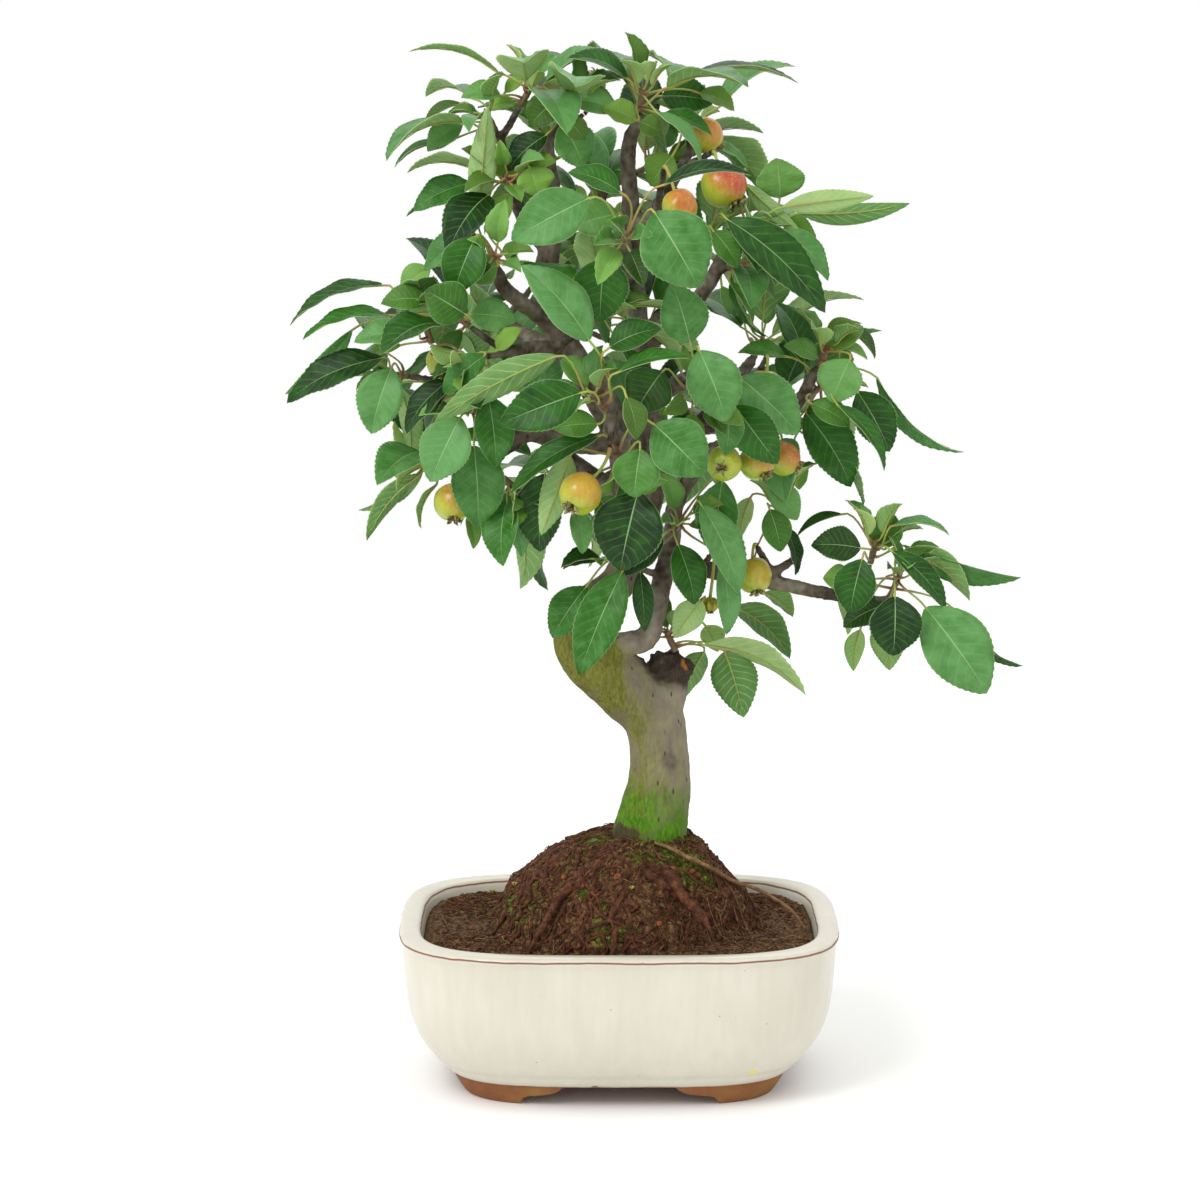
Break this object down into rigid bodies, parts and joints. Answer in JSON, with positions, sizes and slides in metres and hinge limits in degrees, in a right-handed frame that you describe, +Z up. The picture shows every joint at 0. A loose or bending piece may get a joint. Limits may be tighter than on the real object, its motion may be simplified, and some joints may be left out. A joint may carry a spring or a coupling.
{
  "type": "crabapple bonsai in a pot",
  "caption": "Crabapple bonsai with a bent trunk, leafy shoots and small fruit, growing on a root mound in a glazed oblong pot.",
  "frame": {"origin": "centre of the whole part's box, on the surface that the pot's feet stand on", "axes": "+Z up the trunk, -Y towards the show side, X along the pot's long side"},
  "size_m": [0.422, 0.305, 0.5974],
  "materials": {
    "glazed_stoneware": "cream glaze over brown stoneware, feet left bare",
    "plastic_net": "dull black net",
    "potting_soil": "dark crumbly potting soil",
    "root_and_earth": "earth matted with fine reddish roots",
    "bark": "smooth grey-brown bark with green algae",
    "pome": "waxy yellow skin with a red blush",
    "leaf": "satin mid-green leaf, paler beneath"
  },
  "bodies": {
    "root": {"pot": "glazed_stoneware", "drain_screen_1": "plastic_net", "drain_screen_2": "plastic_net", "soil": "potting_soil", "root_ball": "root_and_earth", "tree": "bark", "fruit_front": "pome", "fruit_west": "pome", "fruit_south_west": "pome", "fruit_crown": "pome", "fruit_red": "pome", "fruit_crown_east": "pome", "fruit_half_hidden": "pome", "fruit_bunch_east": "pome", "fruit_mid_east": "pome", "fruit_low_east": "pome", "fruit_withered": "pome", "spray_crown_west": "leaf", "spray_crown_east": "leaf", "spray_west_top": "leaf", "spray_west_high": "leaf", "spray_west_shoulder": "leaf", "spray_upper_west": "leaf", "spray_west_a": "leaf", "spray_west_b": "leaf", "spray_west_c": "leaf", "spray_low_west_tip": "leaf", "spray_west_face": "leaf", "spray_west_under": "leaf", "spray_south_west": "leaf", "spray_face_low": "leaf", "spray_face_south": "leaf", "spray_face_high": "leaf", "spray_face_east": "leaf", "spray_east_shoulder": "leaf", "spray_east_under": "leaf", "spray_east_crown": "leaf", "spray_mid_east_tip": "leaf", "spray_mid_east_low": "leaf", "spray_low_east_tip": "leaf", "spray_low_east_drop": "leaf", "spray_south_centre": "leaf", "spray_south_east": "leaf", "spray_trunk_west": "leaf", "spray_stump_shoot": "leaf", "spray_back_crown_west": "leaf", "spray_back_crown_east": "leaf", "spray_back_high": "leaf", "spray_back_east_high": "leaf", "spray_back_west_high": "leaf", "spray_back_west_mid": "leaf", "spray_back_west_low": "leaf", "spray_back_mid": "leaf", "spray_back_centre": "leaf", "spray_back_east_mid": "leaf", "spray_back_east_low": "leaf", "spray_back_low": "leaf", "spray_back_south": "leaf", "spray_inner_east": "leaf", "spray_inner_centre": "leaf"}
  },
  "joints": []
}
